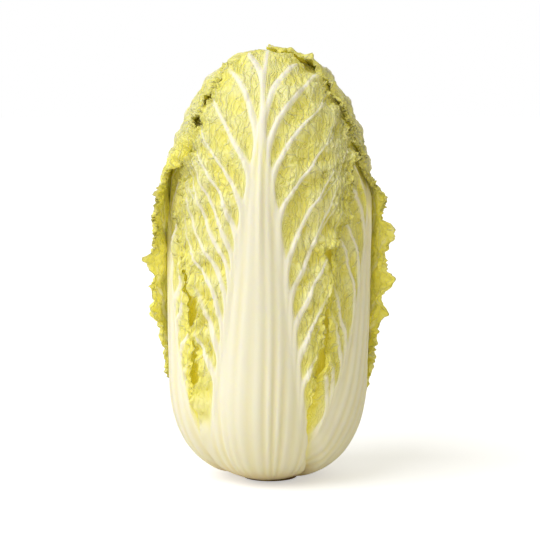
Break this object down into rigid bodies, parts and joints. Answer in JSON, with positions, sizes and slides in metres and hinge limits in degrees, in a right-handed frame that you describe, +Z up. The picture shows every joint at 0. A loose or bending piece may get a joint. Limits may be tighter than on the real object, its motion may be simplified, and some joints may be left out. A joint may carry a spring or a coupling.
{
  "type": "napa cabbage head",
  "caption": "Upright napa cabbage head: barrel of pale ribbed leaf stalks under a dome of crinkled yellow blades, standing on its cut stem.",
  "frame": {"origin": "centre of the flat cut face of the stem, on the surface that the head stands on", "axes": "+Z up the head from the cut stem to the leaf tips; -Y is the side that the front outer leaf covers; +X is to the right of it"},
  "size_m": [0.1551, 0.1551, 0.2959],
  "materials": {
    "outer_leaf": "satin",
    "side_leaf": "satin",
    "inner_leaf": "satin",
    "heart_leaf": "satin",
    "core": "matte"
  },
  "bodies": {
    "root": {"core_stem": "core", "heart_bud": "heart_leaf", "outer_leaf_back_right": "outer_leaf", "outer_leaf_front": "outer_leaf", "outer_leaf_back_left": "outer_leaf", "side_leaf_right": "side_leaf", "side_leaf_left": "side_leaf", "side_leaf_back": "side_leaf", "inner_leaf_1": "inner_leaf", "inner_leaf_2": "inner_leaf", "inner_leaf_3": "inner_leaf", "inner_leaf_4": "inner_leaf", "inner_leaf_5": "inner_leaf", "inner_leaf_6": "inner_leaf", "heart_leaf_1": "heart_leaf", "heart_leaf_2": "heart_leaf", "heart_leaf_3": "heart_leaf", "heart_leaf_4": "heart_leaf", "heart_leaf_5": "heart_leaf", "heart_leaf_6": "heart_leaf"}
  },
  "joints": []
}
